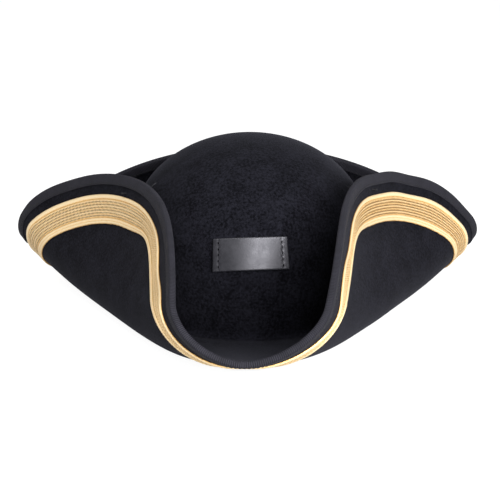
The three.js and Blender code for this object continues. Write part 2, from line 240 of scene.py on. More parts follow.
def new_object(name, points, faces, uvs=None):
    """A mesh from hat-frame points in mm. faces is a list of equal-length index arrays, and
    uvs has the same shape with two numbers for each corner. A closed mesh whose facets all
    turn the same way ends up with them facing outwards."""
    points = np.asarray(points, float).reshape(-1, 3)
    if signed_volume(points - points.mean(0), faces) < 0:
        faces = [part[:, ::-1] for part in faces]
        uvs = None if uvs is None else [part[:, ::-1] for part in uvs]
    points = to_row(points)
    mesh = bpy.data.meshes.new(name)
    corners = np.concatenate([f.ravel() for f in faces])
    sizes = np.concatenate([np.full(len(f), f.shape[1]) for f in faces])
    mesh.vertices.add(len(points))
    mesh.vertices.foreach_set("co", points.astype(np.float32).ravel())
    mesh.loops.add(len(corners))
    mesh.loops.foreach_set("vertex_index", corners.astype(np.int32))
    mesh.polygons.add(len(sizes))
    starts = np.concatenate([[0], np.cumsum(sizes)[:-1]])
    mesh.polygons.foreach_set("loop_start", starts.astype(np.int32))
    mesh.polygons.foreach_set("use_smooth", np.full(len(sizes), True))
    mesh.update(calc_edges=True)
    mesh.validate()
    if uvs is not None:
        layer = mesh.uv_layers.new(name=UV)
        flat = np.concatenate([part.reshape(-1, 2) for part in uvs])
        layer.data.foreach_set("uv", flat.astype(np.float32).ravel())
    obj = bpy.data.objects.new(name, mesh)
    bpy.context.scene.collection.objects.link(obj)
    return obj


def quads(rows, columns, wrap_rows, wrap_columns):
    """Index pairs of each facet's four corners in a grid, not yet wrapped."""
    r, c = np.meshgrid(
        np.arange(rows if wrap_rows else rows - 1),
        np.arange(columns if wrap_columns else columns - 1),
        indexing="ij",
    )
    r, c = r.ravel(), c.ravel()
    return np.stack([r, r + 1, r + 1, r], 1), np.stack([c, c, c + 1, c + 1], 1)


def end_faces(start, rows, columns):
    """The faces that close the first and the last row of a tube in a grid."""
    first = np.arange(columns)[None] + start
    return [first, first[:, ::-1] + (rows - 1) * columns]


def grid_object(name, points, wrap_rows=False, wrap_columns=False, u=None, v=None, caps=False):
    """A grid of points as a mesh. u has one value for each row and v for each column, and
    one more where the grid wraps. caps close the first and the last row."""
    rows, columns = points.shape[:2]
    r, c = quads(rows, columns, wrap_rows, wrap_columns)
    faces = [(r % rows) * columns + (c % columns)]
    uvs = None if u is None else [np.stack([np.asarray(u)[r], np.asarray(v)[c]], -1)]
    if caps:
        faces += end_faces(0, rows, columns)
        uvs = None if u is None else uvs + [np.zeros((1, columns, 2))] * 2
    return new_object(name, points, faces, uvs)


def band_object(name, section, stations):
    """A closed band round the hat, from its section's (along, out) corners."""
    at = np.linspace(0, 360, stations, endpoint=False)[:, None]
    along = np.array([p[0] for p in section])[None]
    out = np.array([p[1] for p in section])[None]
    points = surface_point(at, along, np.broadcast_to(out, (stations, len(section))))
    closed = np.vstack([points[:, 0], points[:1, 0]])
    u = np.concatenate([[0], np.cumsum(np.linalg.norm(np.diff(closed, axis=0), axis=1))])
    corners = np.array(section + [section[0]])
    steps = np.hypot(np.diff(corners[:, 0]), np.diff(corners[:, 1]))
    v = np.concatenate([[0], np.cumsum(steps)])
    return grid_object(name, points, True, True, u, v), u[-1]


def arc(centre, radius, start, end, steps):
    """Points on a round corner of a section."""
    angles = np.radians(np.linspace(start, end, steps))
    return [
        (centre[0] + radius * math.cos(a), centre[1] + radius * math.sin(a))
        for a in angles
    ]


STITCH_SIDES = 6
STITCH_RINGS = 6
TUBE_SIDES = 7


def stitches_object(name, place, count, length, radius, jitter=0.0):
    """Short threads in a row. place(t) gives the point and the outward direction at t, and
    stitch k covers the given length of t round t = k + 0.5. jitter shifts and stretches
    each stitch."""
    sides, rings = STITCH_SIDES, STITCH_RINGS
    ring = np.linspace(0, 1, rings)
    k = np.arange(count)[:, None]
    wobble = jitter * rng.uniform(-1, 1, (count, 1))
    stretch = length * (1 + jitter * rng.uniform(-1, 1, (count, 1)))
    t = k + 0.5 + wobble + stretch * (ring[None] - 0.5)
    point, up = place(t)
    ahead, _ = place(t + 0.01)
    forward = ahead - point
    forward /= np.linalg.norm(forward, axis=-1, keepdims=True)
    side = np.cross(forward, up)
    side /= np.linalg.norm(side, axis=-1, keepdims=True)
    bulge = np.sqrt(np.clip(1 - (2 * ring - 1) ** 2, 0.05, 1))
    angle = np.linspace(0, 2 * np.pi, sides, endpoint=False)
    r = radius * bulge[None, :, None, None]
    centre = point + up * (radius * (bulge[None, :, None] - 1) * 0.8)
    points = (
        centre[:, :, None]
        + side[:, :, None] * np.cos(angle)[None, None, :, None] * r
        + up[:, :, None] * np.sin(angle)[None, None, :, None] * r
    )
    r_index, c_index = quads(rings, sides, False, True)
    one = r_index * sides + c_index % sides
    start = (np.arange(count) * rings * sides)[:, None, None]
    faces = (start + one[None]).reshape(-1, 4)
    first = np.arange(sides)[None] + start[:, 0]
    last = first[:, ::-1] + (rings - 1) * sides
    return new_object(name, points.reshape(-1, 3), [faces, first, last])


def tube_object(name, lines, radius):
    """Round tubes along lines of points, as one mesh with closed ends."""
    sides = TUBE_SIDES
    points, faces, ends, start = [], [], [], 0
    for line in lines:
        line = np.asarray(line, float)
        forward = np.gradient(line, axis=0)
        forward /= np.linalg.norm(forward, axis=1, keepdims=True)
        side = np.cross(forward[0], [0.31, 0.2, 0.93])
        frames = []
        for f in forward:
            side = side - f * side.dot(f)
            side = side / np.linalg.norm(side)
            frames.append((side, np.cross(f, side)))
        angle = np.linspace(0, 2 * np.pi, sides, endpoint=False)
        for p, (a, b) in zip(line, frames):
            ring = np.outer(np.cos(angle), a) + np.outer(np.sin(angle), b)
            points.append(p + radius * ring)
        r, c = quads(len(line), sides, False, True)
        faces.append(start + r * sides + c % sides)
        ends += end_faces(start, len(line), sides)
        start += len(line) * sides
    return new_object(name, np.concatenate(points), [np.concatenate(faces), *ends])


# ---------- materials


class Look:
    """A material: a Principled shader and short calls for the nodes that feed it."""

    def __init__(self, name, **sockets):
        self.material = bpy.data.materials.new(name)
        self.material.use_nodes = True
        self.tree = self.material.node_tree
        self.shader = self.tree.nodes["Principled BSDF"]
        for socket, value in sockets.items():
            self.shader.inputs[socket.replace("_", " ")].default_value = value
        self.place = self.node("ShaderNodeTexCoord").outputs["Object"]

    def node(self, kind, inputs=(), **settings):
        node = self.tree.nodes.new(kind)
        for key, value in settings.items():
            setattr(node, key, value)
        for key, value in dict(inputs).items():
            self.put(node.inputs[key], value)
        return node

    def put(self, socket, value):
        if isinstance(value, bpy.types.NodeSocket):
            self.tree.links.new(value, socket)
        else:
            socket.default_value = value

    def feed(self, socket, value):
        self.put(self.shader.inputs[socket], value)

    def noise(self, size_mm, detail=2.0, roughness=0.5):
        inputs = {"Scale": 1 / (size_mm * MM), "Detail": detail, "Roughness": roughness}
        node = self.node("ShaderNodeTexNoise", inputs)
        self.put(node.inputs["Vector"], self.place)
        return node.outputs["Fac"]

    def math(self, operation, a, b=0.0):
        return self.node("ShaderNodeMath", {0: a, 1: b}, operation=operation).outputs[0]

    def spread(self, value, low, high, to_low=0.0, to_high=1.0):
        inputs = {
            "Value": value, "From Min": low, "From Max": high,
            "To Min": to_low, "To Max": to_high,
        }
        return self.node("ShaderNodeMapRange", inputs).outputs["Result"]

    def mix(self, share, a, b):
        node = self.node("ShaderNodeMix", data_type="RGBA")
        self.put(node.inputs["Factor"], share)
        self.put(node.inputs[6], a)
        self.put(node.inputs[7], b)
        return node.outputs[2]

    def bump(self, height, distance_mm, strength=1.0):
        inputs = {"Height": height, "Distance": distance_mm * MM, "Strength": strength}
        self.feed("Normal", self.node("ShaderNodeBump", inputs).outputs["Normal"])

    def lay(self):
        """The two flat coordinates of a band: millimetres along it and across it."""
        uv = self.node("ShaderNodeUVMap", uv_map=UV).outputs[0]
        split = self.node("ShaderNodeSeparateXYZ", {0: uv})
        return split.outputs[0], split.outputs[1]

    def wave(self, value, pitch):
        """0 to 1 and back, once for each pitch."""
        turned = self.math("MULTIPLY", value, 2 * math.pi / pitch)
        return self.spread(self.math("SINE", turned), -1, 1)


def rgb(r, g, b):
    return (r, g, b, 1.0)


def felt_look():
    look = Look(
        "wool_felt", Roughness=1.0, Specular_IOR_Level=0.05, Sheen_Weight=0.015,
        Sheen_Roughness=0.45, Sheen_Tint=rgb(0.72, 0.74, 0.9),
    )
    mottle = look.noise(1.9, detail=3.0, roughness=0.7)
    patch = look.noise(16.0, detail=2.0)
    nap = look.noise(0.7, detail=2.0, roughness=0.7)
    tone = look.math("ADD", look.spread(mottle, 0.32, 0.68, -0.5, 0.5), patch)
    dark, light = rgb(0.0014, 0.0014, 0.0022), rgb(0.0085, 0.0085, 0.0122)
    body = look.mix(look.spread(tone, 0.1, 0.9), dark, light)
    # Painted sheen: the base colour turns lighter where the felt is seen edge-on, a rim of light
    # painted along its outlines.
    facing = look.node("ShaderNodeLayerWeight", {"Blend": 0.5}).outputs["Facing"]
    painted_rim_sheen = look.math("POWER", facing, 7.0)
    look.feed("Base Color", look.mix(painted_rim_sheen, body, rgb(0.040, 0.040, 0.050)))
    height = look.math("ADD", mottle, look.math("MULTIPLY", nap, 0.45))
    look.bump(height, 0.55, 0.75)
    return look.material


def grosgrain_look():
    look = Look(
        "grosgrain", Roughness=0.75, Specular_IOR_Level=0.15, Sheen_Weight=0.02,
        Sheen_Roughness=0.4, Sheen_Tint=rgb(0.8, 0.8, 0.95),
    )
    u, v = look.lay()
    rib = look.wave(u, 1.25)
    wear = look.noise(9.0, detail=3.0)
    dark, light = rgb(0.0040, 0.0040, 0.0056), rgb(0.024, 0.023, 0.032)
    # The ribs are painted lighter on their crests and darker between them, painted shade in the
    # valleys. The wear noise varies the tone at random.
    tone = look.math("MULTIPLY", rib, look.spread(wear, 0.3, 0.7, 0.55, 1.0))
    look.feed("Base Color", look.mix(tone, dark, light))
    look.bump(look.math("ADD", rib, look.math("MULTIPLY", wear, 0.4)), 0.22, 0.9)
    return look.material


def gold_look():
    look = Look("gold_braid", Specular_IOR_Level=0.5, Metallic=0.5)
    relief = look.node("ShaderNodeAttribute", attribute_name="relief").outputs["Fac"]
    grain = look.noise(0.9, detail=2.0, roughness=0.7)
    thread = look.noise(4.0, detail=3.0)
    u, v = look.lay()
    along = look.math("ABSOLUTE", look.math("SUBTRACT", look.math("FRACT", u), 0.5))
    row = look.math("DIVIDE", look.math("SUBTRACT", v, MESH_START + HOLE_PLACE), MESH_PITCH)
    row = look.math("FRACT", look.math("ADD", row, 0.5))
    across = look.math("ABSOLUTE", look.math("SUBTRACT", row, 0.5))
    along = look.math("POWER", look.math("DIVIDE", along, 0.26), 2.0)
    across = look.math("POWER", look.math("DIVIDE", across, 0.33), 2.0)
    ragged = look.spread(grain, 0.3, 0.7, -0.2, 0.2)
    distance = look.math("ADD", look.math("ADD", along, across), ragged)
    hole = look.spread(distance, 1.25, 0.7)
    from_middle = look.math("ABSOLUTE", look.math("SUBTRACT", v, HOLES_MIDDLE))
    inside = look.math("LESS_THAN", from_middle, HOLES_HALF_WIDTH)
    hole = look.math("MULTIPLY", hole, inside)
    # Painted shade and highlight: the colour follows the braid's relief. A dark tone is painted
    # into its hollows, grooves and the dips between beads, and a pale highlight tone on its raised
    # tops.
    painted_hollow_shade, side, top = rgb(0.40, 0.18, 0.035), rgb(0.82, 0.50, 0.17), rgb(0.99, 0.79, 0.49)
    bead = look.math("MULTIPLY", look.spread(look.wave(u, 1.0), 0, 1, -0.42, 0.2), inside)
    lit = look.math("ADD", relief, look.spread(grain, 0.3, 0.7, -0.28, 0.2))
    lit = look.math("ADD", lit, bead)
    low = look.mix(look.spread(lit, 0.1, 0.42), painted_hollow_shade, side)
    high = look.mix(look.spread(lit, 0.4, 0.8), low, top)
    shade = look.spread(thread, 0.3, 0.7, 0.0, 0.25)
    worn = look.mix(shade, high, rgb(0.86, 0.62, 0.33))
    look.feed("Base Color", look.mix(hole, worn, rgb(0.045, 0.022, 0.007)))
    look.feed("Roughness", look.spread(grain, 0.3, 0.7, 0.3, 0.55))
    height = look.math("SUBTRACT", look.math("MULTIPLY", grain, 0.5), hole)
    look.bump(height, 0.3, 0.7)
    return look.material


def leather_look():
    look = Look("leather", Specular_IOR_Level=0.6, Specular_Tint=rgb(0.93, 0.92, 1.0))
    grain = look.noise(0.8, detail=4.0, roughness=0.6)
    cloud = look.noise(7.0, detail=2.0)
    dark, light = rgb(0.008, 0.008, 0.010), rgb(0.020, 0.020, 0.024)
    look.feed("Base Color", look.mix(cloud, dark, light))
    look.feed("Roughness", look.spread(look.math("ADD", cloud, grain), 0.7, 1.3, 0.35, 0.50))
    look.bump(grain, 0.05, 0.5)
    return look.material


def thread_look(name, colour, specular=0.3):
    look = Look(name, Roughness=0.75, Specular_IOR_Level=specular)
    ply = look.noise(0.55, detail=1.0)
    darker = rgb(*(0.45 * c for c in colour[:3]))
    look.feed("Base Color", look.mix(look.spread(ply, 0.35, 0.65), darker, colour))
    look.bump(ply, 0.12, 0.8)
    return look.material


def cotton_look():
    look = Look("sweatband", Roughness=0.85, Specular_IOR_Level=0.25, Sheen_Weight=0.15)
    u, v = look.lay()
    rib = look.wave(v, 1.3)
    weave = look.wave(u, 0.7)
    height = look.math("ADD", rib, look.math("MULTIPLY", weave, 0.35))
    wear = look.noise(6.0, detail=3.0)
    # The colour is painted darker in the valleys of the ribs and weave, painted shade there. The
    # wear noise varies the tone at random.
    tone = look.math("MULTIPLY", height, look.spread(wear, 0.3, 0.7, 0.4, 0.8))
    look.feed("Base Color", look.mix(tone, rgb(0.009, 0.009, 0.011), rgb(0.042, 0.042, 0.05)))
    look.bump(height, 0.2, 0.8)
    return look.material


def label_look():
    look = Look("label", Roughness=0.5, Specular_IOR_Level=0.45)
    u, v = look.lay()
    weft = look.wave(v, 0.45)
    warp = look.wave(u, 0.6)
    weave = look.math("MULTIPLY", weft, warp)
    soil = look.noise(8.0, detail=3.0)
    clean, soiled = rgb(0.60, 0.57, 0.49), rgb(0.47, 0.43, 0.35)
    pale = look.mix(look.spread(soil, 0.35, 0.75), clean, soiled)
    shaded = look.math("MULTIPLY", weave, 0.25)
    look.feed("Base Color", look.mix(shaded, pale, rgb(0.34, 0.31, 0.25)))
    look.bump(weave, 0.08, 0.7)
    return look.material


def finish_piece(obj, material, slot, *nodes):
    obj.data.materials.append(material)
    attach(obj, "root")
    if nodes:
        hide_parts(*nodes)
    return obj


# ---------- camera, light and table

TARGET = to_row([0, 0, 50])
TABLE_HALF_SIZE = 12000.0
TABLE_GAP = 0.2
DISTANCE = 1.3
ELEVATION = math.radians(12.5)
YAW = math.radians(-0.32)
ROLL = math.radians(0.34)
FOCAL_LENGTH = 118.4


def add_camera():
    data = bpy.data.cameras.new("camera")
    data.sensor_width = 36
    data.lens = FOCAL_LENGTH
    data.shift_x = 0.0008
    data.shift_y = -0.0112
    data.clip_end = 100
    camera = bpy.data.objects.new("camera", data)
    bpy.context.scene.collection.objects.link(camera)
    flat = DISTANCE * math.cos(ELEVATION)
    offset = Vector((-flat * math.sin(YAW), -flat * math.cos(YAW), DISTANCE * math.sin(ELEVATION)))
    camera.location = Vector(TARGET) + offset
    turn = (-offset).to_track_quat("-Z", "Y") @ Quaternion((0, 0, 1), ROLL)
    camera.rotation_euler = turn.to_euler()
    bpy.context.scene.camera = camera


def add_softbox(name, azimuth, elevation, distance, width, height, watts):
    """A rectangular light that faces the hat. Angles are in degrees, with azimuth 0 in
    front of the hat and positive towards +X, and lengths are in metres."""
    data = bpy.data.lights.new(name, "AREA")
    data.shape = "RECTANGLE"
    data.size = width
    data.size_y = height
    data.energy = watts
    light = bpy.data.objects.new(name, data)
    bpy.context.scene.collection.objects.link(light)
    a, e = math.radians(azimuth), math.radians(elevation)
    flat = distance * math.cos(e)
    offset = Vector((flat * math.sin(a), -flat * math.cos(a), distance * math.sin(e)))
    light.location = Vector(TARGET) + offset
    light.rotation_euler = (-offset).to_track_quat("-Z", "Y").to_euler()
    light.visible_camera = False


def add_world(sky):
    world = bpy.data.worlds.new("studio")
    bpy.context.scene.world = world
    world.use_nodes = True
    tree = world.node_tree
    background = tree.nodes["Background"]
    background.inputs["Color"].default_value = rgb(1, 1, 1)
    seen = tree.nodes.new("ShaderNodeLightPath").outputs["Is Camera Ray"]
    strength = tree.nodes.new("ShaderNodeMapRange")
    tree.links.new(seen, strength.inputs["Value"])
    strength.inputs["To Min"].default_value = sky
    strength.inputs["To Max"].default_value = 1.05
    tree.links.new(strength.outputs["Result"], background.inputs["Strength"])


def add_table():
    """A table that glows more for the camera than for the hat, so that it looks white and
    lights the hat only a little."""
    corners = np.array([[-1, -1, 0], [1, -1, 0], [1, 1, 0], [-1, 1, 0]]) * TABLE_HALF_SIZE
    drop = [0, 0, AXIS[2] + TABLE_GAP]
    table = new_object("table", corners - drop, [np.array([[0, 1, 2, 3]])])
    look = Look("table", Roughness=0.8, Specular_IOR_Level=0.2)
    look.shader.inputs["Emission Color"].default_value = rgb(1, 1, 1)
    seen = look.node("ShaderNodeLightPath").outputs["Is Camera Ray"]
    look.feed("Emission Strength", look.spread(seen, 0, 1, 0.30, 0.92))
    grain = look.noise(400.0)
    look.feed("Base Color", look.mix(grain, rgb(0.24, 0.24, 0.24), rgb(0.27, 0.27, 0.27)))
    table.data.materials.append(look.material)


bpy.context.scene.view_settings.view_transform = "Standard"
add_camera()
add_world(0.27)
add_softbox("key", azimuth=22, elevation=13.5, distance=1.7, width=1.35, height=0.85, watts=66)
add_softbox("fill", azimuth=-78, elevation=16, distance=1.7, width=0.9, height=0.9, watts=7)
add_softbox("top", azimuth=-15, elevation=70, distance=1.9, width=1.4, height=1.4, watts=26)
add_table()

# ---------- felt

FELT_STATIONS = 400


def add_felt():
    dome = [-WALL_RUN - a for a in np.arange(88.5, 0.1, -3.0)]
    wall = list(np.linspace(-WALL_RUN, 0, 21))
    bend = [FILLET / 3, 2 * FILLET / 3, FILLET]
    brim = list(np.linspace(FILLET, BRIM_WIDTH, 54)[1:])
    alongs = np.array(dome + wall + bend + brim)
    stations = np.linspace(0, 360, FELT_STATIONS, endpoint=False)[:, None]
    half = np.full((FELT_STATIONS, len(alongs)), HALF_FELT)
    inner = surface_point(stations, alongs[None], -half)
    outer = surface_point(stations, alongs[None], half)
    points = np.concatenate([inner, outer[:, ::-1]], 1)
    count = points.shape[1]
    flat = points.reshape(-1, 3)
    top = crown_point(np.array(0.0), np.array(-DOME_END))
    poles = np.array([top - [0, 0, HALF_FELT], top + [0, 0, HALF_FELT]])
    r, c = quads(FELT_STATIONS, count, True, False)
    faces = (r % FELT_STATIONS) * count + c
    here = np.arange(FELT_STATIONS)
    after = (here + 1) % FELT_STATIONS
    last = count - 1
    inner_pole = np.full(FELT_STATIONS, len(flat))
    inner_fan = np.stack([inner_pole, after * count, here * count], 1)
    outer_fan = np.stack([inner_pole + 1, here * count + last, after * count + last], 1)
    obj = new_object("felt", np.vstack([flat, poles]), [faces, inner_fan, outer_fan])
    finish_piece(obj, felt_look(), "wool_felt", "felt_hood")
    return obj


felt = add_felt()

# ---------- binding round the edge

BINDING_STATIONS = 720
BINDING_CORNER = 1.7


def add_binding(look):
    inner = HALF_FELT + GAP
    outer = inner + BINDING_THICKNESS
    start = BRIM_WIDTH - BINDING_DEPTH
    edge = BRIM_WIDTH + GAP
    corner = BINDING_CORNER
    tip = edge + BINDING_THICKNESS
    section = [(start, inner), (edge - 0.2, inner), (edge, inner - 0.3)]
    section += [(edge, -inner + 0.3), (edge - 0.2, -inner), (start, -inner)]
    section += [(start - 0.15, -inner - 0.2), (start, -outer + 0.15), (start + 0.3, -outer)]
    section += [(start + 2.2, -outer), (start + 4.2, -outer)]
    section += arc((tip - corner, -outer + corner), corner, -90, 0, 6)
    section += arc((tip - corner, outer - corner), corner, 0, 90, 6)
    section += [(start + 4.2, outer), (start + 2.2, outer)]
    section += [(start + 0.3, outer), (start, outer - 0.15), (start - 0.15, inner + 0.2)]
    obj, length = band_object("binding", section, BINDING_STATIONS)
    finish_piece(obj, look, "grosgrain", "edge_binding")


def ring_place(along, out, pitch, zigzag=0.0):
    """Where stitches lie on a ring round the hat, one for each pitch of its length."""
    table = np.linspace(0, 360, 1441)
    line = surface_point(table, along, np.full(table.shape, out))
    run = np.concatenate([[0], np.cumsum(np.linalg.norm(np.diff(line, axis=0), axis=1))])
    count = int(round(run[-1] / pitch))

    def place(t):
        station = np.interp(t / count * run[-1] % run[-1], run, table)
        swing = zigzag * (2 * np.abs((t / 2) % 1 - 0.5) - 0.5) * 2
        point = surface_point(station, along + swing, np.full(t.shape, out))
        return point, outward(station, along + swing) * np.sign(out)

    return place, count


def add_binding_seams(look):
    rise = HALF_FELT + GAP + BINDING_THICKNESS + 0.12
    for side, name in ((1, "upper"), (-1, "lower")):
        place, count = ring_place(BRIM_WIDTH - BINDING_DEPTH + 1.3, side * rise, 3.0)
        obj = stitches_object(f"binding_stitches_{name}", place, count, 0.78, 0.26)
        finish_piece(obj, look, "thread", f"binding_seam_{name}")


grosgrain = grosgrain_look()
black_thread = thread_look("black_thread", rgb(0.012, 0.012, 0.015))
add_binding(grosgrain)
add_binding_seams(black_thread)

# ---------- gold braid

BRAID_STATIONS = 1152
# Every second station of the mesh has a hole. The rest are mm across the braid, from its
# outer edge or from the start of a row of mesh.
HOLE_STEP = 2
MESH_START = 4.0
MESH_PITCH = 2.15
MESH_ROWS = 6
HOLE_PLACE = 1.63
HOLES_MIDDLE = 10.6
HOLES_HALF_WIDTH = 6.4
# station, spread and narrowing in mm of the inner edge, then of the outer edge
PINCHES_INSIDE = [
    (-47.0, 9.5, 7.4), (-64.0, 9.0, 1.2), (-86.0, 9.0, -1.0), (-104.0, 12.0, -2.4),
    (47.0, 12.0, 7.6), (66.0, 9.0, 0.9), (104.0, 12.0, 0.5),
    (-13.0, 10.0, 3.5), (18.0, 9.0, 4.0),
]
PINCHES_OUTSIDE = [
    (-30.5, 6.5, 6.5), (-56.0, 8.0, -0.5), (-15.0, 9.0, 3.5), (37.5, 7.0, 6.0),
    (18.0, 9.0, 6.5), (57.0, 8.0, -0.7), (98.0, 10.0, -1.0),
]


def braid_profile():
    """Across the braid from its outer edge: mm from the edge, height, and the shares of
    the holes and of the plaiting."""
    rows = [(0.0, 0.25, 0, 0), (0.12, 0.75, 0, 0)]
    for share in (0.15, 0.35, 0.55, 0.8):
        rows.append((0.2 + 2.8 * share, 0.85 + 0.65 * math.sin(math.pi * share), 0, 0.12))
    rows += [(3.1, 0.8, 0, 0), (3.35, 0.42, 0, 0), (3.8, 0.42, 0, 0)]
    for k in range(MESH_ROWS):
        start = MESH_START + k * MESH_PITCH
        side = 1 if k % 2 else -1
        rows += [(start + 0.12, 0.8, 0.3, side * 0.4), (start + 0.62, 1.0, 0, side)]
        rows += [(start + 1.12, 0.8, 0.3, side * 0.4), (start + HOLE_PLACE, 0.66, 1, 0)]
    rows += [(17.05, 0.75, 0, 0), (17.4, 0.42, 0, 0), (17.8, 0.42, 0, 0)]
    for start in (17.95, 20.1):
        rows += [(start + 0.1, 0.72, 0, 0.2), (start + 0.65, 1.15, 0, 0.7)]
        rows += [(start + 1.35, 1.15, 0, -0.7), (start + 1.95, 0.72, 0, 0.2)]
    rows += [(22.35, 0.6, 0, 0.5), (22.5, 0.25, 0, 0.5)]
    return np.array(rows)


def pinched(station, pinches):
    total = np.zeros_like(station)
    for middle, spread, amount in pinches:
        total += amount * np.exp(-((station - middle) / spread) ** 2)
    return total


def add_braid():
    profile = braid_profile()
    across, height, hole, plait = profile.T
    base = -HALF_FELT - GAP
    station = np.linspace(0, 360, BRAID_STATIONS, endpoint=False)[:, None]
    odd = (np.arange(BRAID_STATIONS) % 2)[:, None]
    turn = np.where(odd == 1, 1.0, -1.0)
    jitter = rng.uniform(-1, 1, (BRAID_STATIONS, len(profile)))
    raised = height[None] - 0.6 * hole[None] * odd + 0.13 * plait[None] * turn
    raised = raised + 0.05 * jitter * (height[None] > 0.5)
    inner_edge = np.clip((across - 21.3) / 1.2, 0, 1)[None]
    scallop = inner_edge * (0.28 * turn + 0.12 * jitter[:, :1])
    around = (station + 180) % 360 - 180
    outer = BRAID_END - pinched(around, PINCHES_OUTSIDE)
    width = outer - BRAID_START - pinched(around, PINCHES_INSIDE)
    share = across[None] / (BRAID_END - BRAID_START)
    along = outer - width * share + scallop
    top = surface_point(station, along, base - raised)
    back_share = np.array([0.99, 0.5, 0.01])[None]
    back = surface_point(station, outer - width * back_share, np.full((BRAID_STATIONS, 3), base))
    points = np.concatenate([top, back], 1)
    u = np.arange(BRAID_STATIONS + 1) / HOLE_STEP
    v = np.concatenate([across, [22.3, 11.0, 0.2, 0.0]])
    obj = grid_object("braid", points, True, True, u, v)
    middle = surface_point(station[:, 0], BRAID_END - 11.0, np.full(BRAID_STATIONS, base))
    # relief is the braid's height, which the gold material turns into painted shade in the hollows
    # and a painted highlight on the tops.
    flush = raised + 0.6 * hole[None] * odd
    relief = np.concatenate([flush, np.full((BRAID_STATIONS, 3), 0.5)], 1)
    relief = np.clip((relief - 0.1) / 1.1, 0, 1)
    attribute = obj.data.attributes.new("relief", "FLOAT", "POINT")
    attribute.data.foreach_set("value", relief.astype(np.float32).ravel())
    finish_piece(obj, gold_look(), "gold_braid", "gold_braid")


add_braid()

# ---------- keeper strap

KEEPER_WIDTH = 53.0
KEEPER_HEIGHT = 24.0
KEEPER_THICKNESS = 1.6
KEEPER_MIDDLE = 66.0
KEEPER_ARCH = 1.2
KEEPER_SIDEWAYS = 1.2
KEEPER_TILT = math.radians(2.3)
KEEPER_LOOP_GAP = 0.5
KEEPER_LEAN = math.radians(8.0)
KEEPER_END_GAP = 0.35
KEEPER_STANDOFF = 0.5
KEEPER_SEAM = KEEPER_WIDTH / 2 - 4.3
STITCH_PITCH = 4.3
STITCH_COUNT = 5


def keeper_place(across, up):
    """The station and along of a place on the strap: across to the right, and up."""
    cos, sin = math.cos(KEEPER_TILT), math.sin(KEEPER_TILT)
    x = KEEPER_SIDEWAYS + across * cos - up * sin
    arch = KEEPER_ARCH * (1 - (2 * across / KEEPER_WIDTH) ** 2)
    along = crown_along(KEEPER_MIDDLE + arch + up * cos + across * sin)
    zero = np.zeros_like(along)
    reach = crown_point(zero + 90, along)[..., 0] - crown_point(zero, along)[..., 0]
    return np.degrees(np.arcsin(x / reach)), along


def keeper_gap(across):
    inside = np.minimum(1, np.abs(across) / KEEPER_SEAM)
    return KEEPER_END_GAP + KEEPER_LOOP_GAP * (1 - inside ** 2) ** 2


def keeper_frame(across):
    """On the strap's middle line: the place on the felt, and the strap's up and outward."""
    station, along = keeper_place(across, np.zeros_like(across))
    foot = surface_point(station, along, np.full(across.shape, HALF_FELT))
    facing = outward(station, along) * [1, 1, 0]
    facing /= np.linalg.norm(facing, axis=-1, keepdims=True)
    level = np.array([0, 0, 1.0])
    up = level * math.cos(KEEPER_LEAN) - facing * math.sin(KEEPER_LEAN)
    out = facing * math.cos(KEEPER_LEAN) + level * math.sin(KEEPER_LEAN)
    side = np.cross(level, facing)
    return foot, up + side * -math.sin(KEEPER_TILT), out


def keeper_point(across, up, out):
    """A place on the strap, which is stiff and leans back a little from bottom to top."""
    foot, upward, facing = keeper_frame(across)
    return foot + upward * up[..., None] + facing * out[..., None]


def add_keeper():
    half_width, half_height = KEEPER_WIDTH / 2, KEEPER_HEIGHT / 2
    across = np.linspace(-half_width, half_width, 107)
    edge_up = [1.0, 0.995, 0.975, 0.93]
    shares = [-e for e in edge_up] + list(np.linspace(-0.88, 0.88, 41)) + edge_up[::-1]
    up = np.array(shares) * half_height
    a, b = np.meshgrid(across, up, indexing="ij")
    near_end = np.clip((half_width - np.abs(a)) / 0.7, 0, 1)
    near_side = np.clip((half_height - np.abs(b)) / 0.7, 0, 1)
    rounding = 0.55 * (2 - np.sqrt(1 - (1 - near_end) ** 2) - np.sqrt(1 - (1 - near_side) ** 2))
    seam = np.exp(-((np.abs(a) - KEEPER_SEAM) / 0.75) ** 2)
    pulled = seam * (0.12 + 0.10 * np.cos(2 * np.pi * b / STITCH_PITCH + np.pi))
    face = KEEPER_STANDOFF + keeper_gap(a) + KEEPER_THICKNESS - rounding - pulled
    back = KEEPER_STANDOFF + keeper_gap(a)
    top = keeper_point(a, b, face)
    under = keeper_point(a, b, back)
    r, c = quads(*a.shape, False, False)
    columns = a.shape[1]
    one = r * columns + c
    count = a.size
    edge = list(range(columns))
    edge += [i * columns + columns - 1 for i in range(1, a.shape[0])]
    edge += [a.size - 1 - j for j in range(1, columns)]
    edge += [i * columns for i in range(a.shape[0] - 2, 0, -1)]
    edge = np.array(edge)
    after = np.roll(edge, -1)
    rim = np.stack([edge, after, after + count, edge + count], 1)
    points = np.concatenate([top.reshape(-1, 3), under.reshape(-1, 3)])
    obj = new_object("keeper", points, [one, one[:, ::-1] + count, rim])
    finish_piece(obj, leather_look(), "leather", "keeper_strap")


def add_keeper_stitches(look):
    for side, name in ((-1, "left"), (1, "right")):
        def place(t):
            up = (t - STITCH_COUNT / 2) * STITCH_PITCH
            across = np.full(t.shape, side * KEEPER_SEAM)
            lift = KEEPER_STANDOFF + KEEPER_END_GAP + KEEPER_THICKNESS - 0.2
            return keeper_point(across, up, np.full(t.shape, lift)), keeper_frame(across)[2]
        title = f"keeper_stitches_{name}"
        obj = stitches_object(title, place, STITCH_COUNT, 0.58, 0.55, jitter=0.12)
        finish_piece(obj, look, "thread", title)


add_keeper()
# Black thread, painted darker and more matte than the thread elsewhere to stand in for the shade
# in its stitch holes.
add_keeper_stitches(thread_look("keeper_thread", rgb(0.002, 0.002, 0.003), specular=0.03))

# ---------- inside the crown

SWEATBAND_STATIONS = 360


